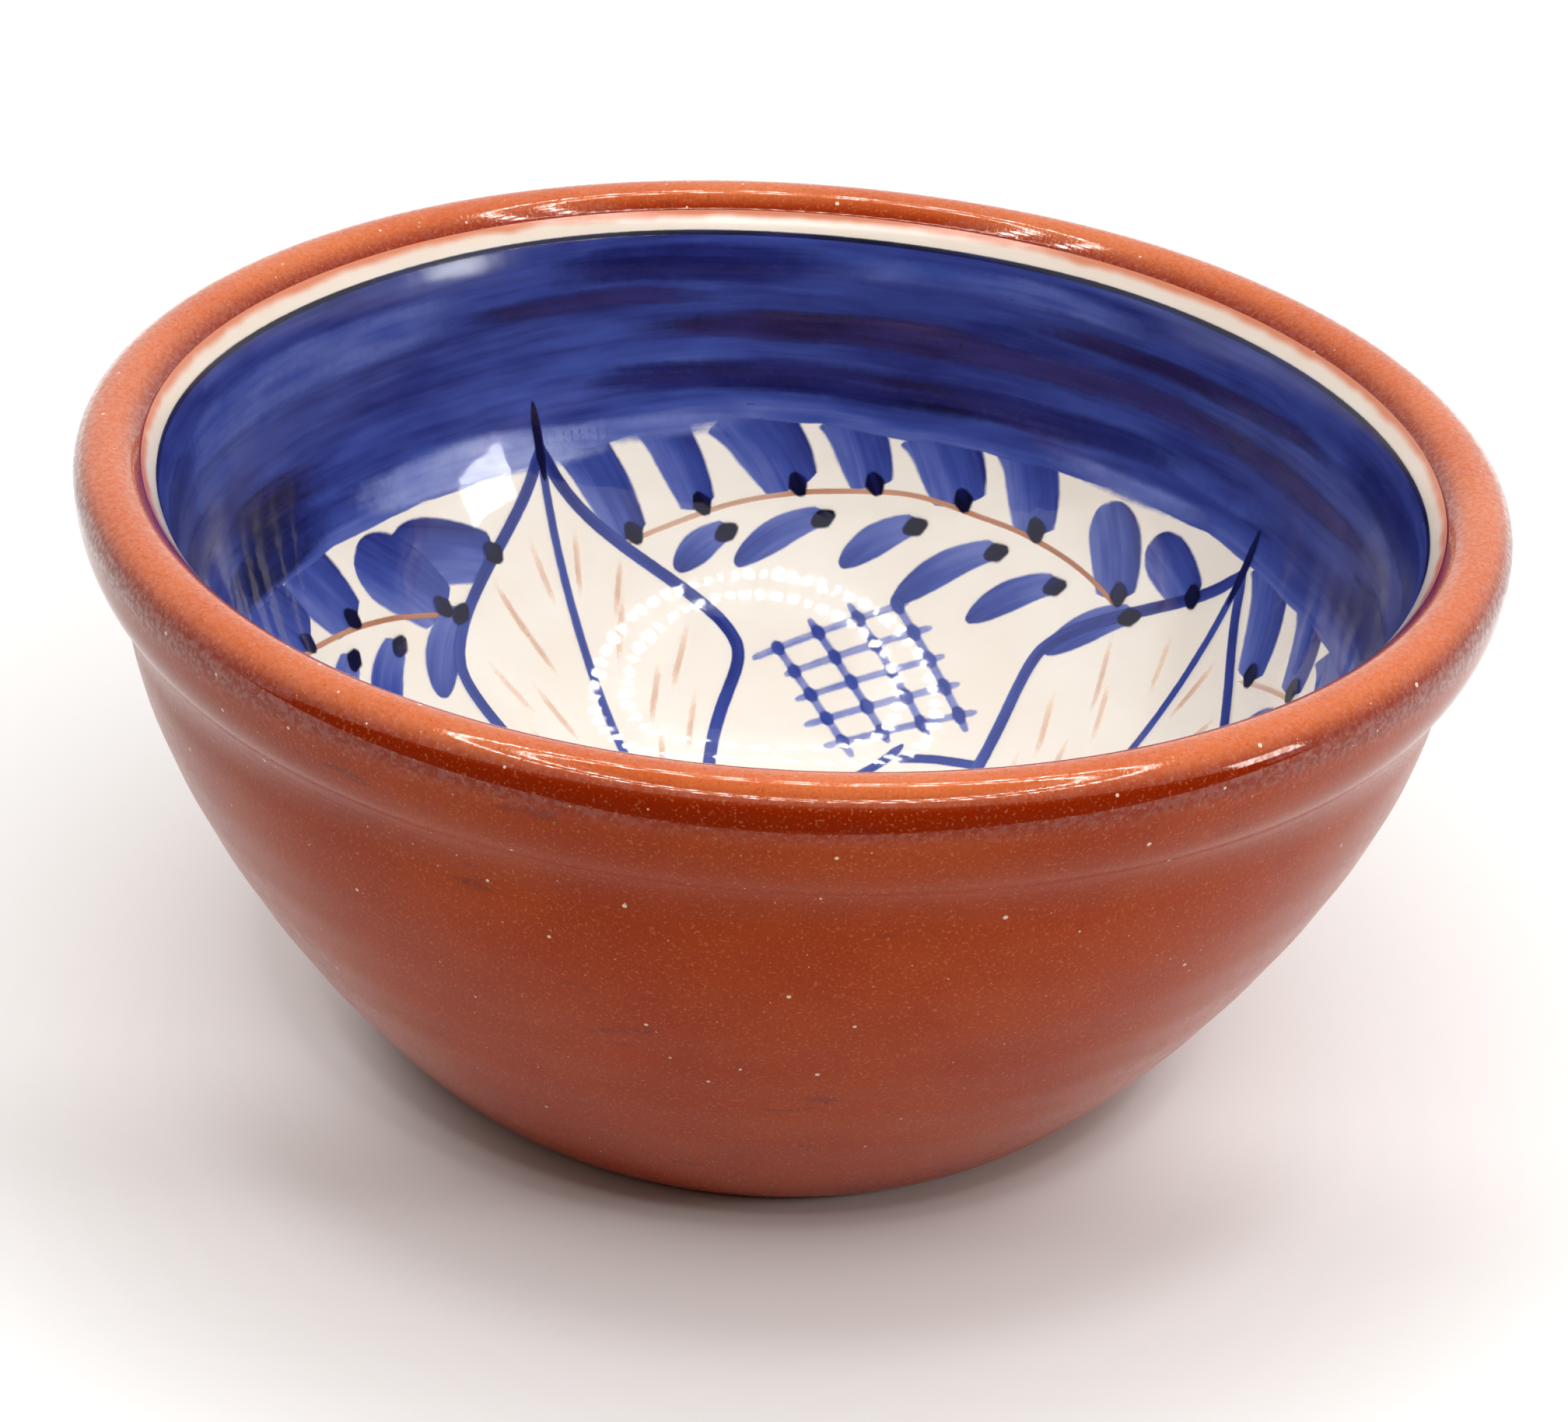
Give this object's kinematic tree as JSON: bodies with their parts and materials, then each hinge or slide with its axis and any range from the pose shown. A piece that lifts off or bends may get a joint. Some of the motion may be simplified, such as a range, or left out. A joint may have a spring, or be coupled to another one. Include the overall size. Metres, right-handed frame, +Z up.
{
  "type": "ceramic bowl",
  "caption": "Round earthenware bowl with a rolled rim and flat foot, lined with white slip and brushed inside with a blue border, petals, fern sprays and lattices.",
  "frame": {"origin": "middle of the flat foot, on the surface that the bowl stands on", "axes": "+Z up along the bowl's axis of turning, +X and +Y level; the first petal lies 30.5 degrees round from +X"},
  "size_m": [0.14, 0.14, 0.0648],
  "materials": {
    "red_clay": "red earthenware under a clear gloss glaze",
    "white_slip": "cream white slip under a clear gloss glaze",
    "cobalt": "brushed cobalt blue under a clear gloss glaze",
    "dark_cobalt": "thick, nearly black cobalt under a clear gloss glaze"
  },
  "bodies": {
    "root": {"clay_body": "red_clay", "slip_lining": "white_slip", "border_line": "dark_cobalt", "border_band": "cobalt", "centre_dot": "dark_cobalt", "petal_1": "cobalt", "petal_2": "cobalt", "petal_3": "cobalt", "petal_4": "cobalt", "fern_1": "cobalt", "fern_2": "cobalt", "fern_3": "cobalt", "fern_4": "cobalt", "lattice_1": "cobalt", "lattice_2": "cobalt", "lattice_3": "cobalt", "lattice_4": "cobalt", "scallop_1": "cobalt", "scallop_2": "cobalt", "scallop_3": "cobalt", "scallop_4": "cobalt"}
  },
  "joints": []
}
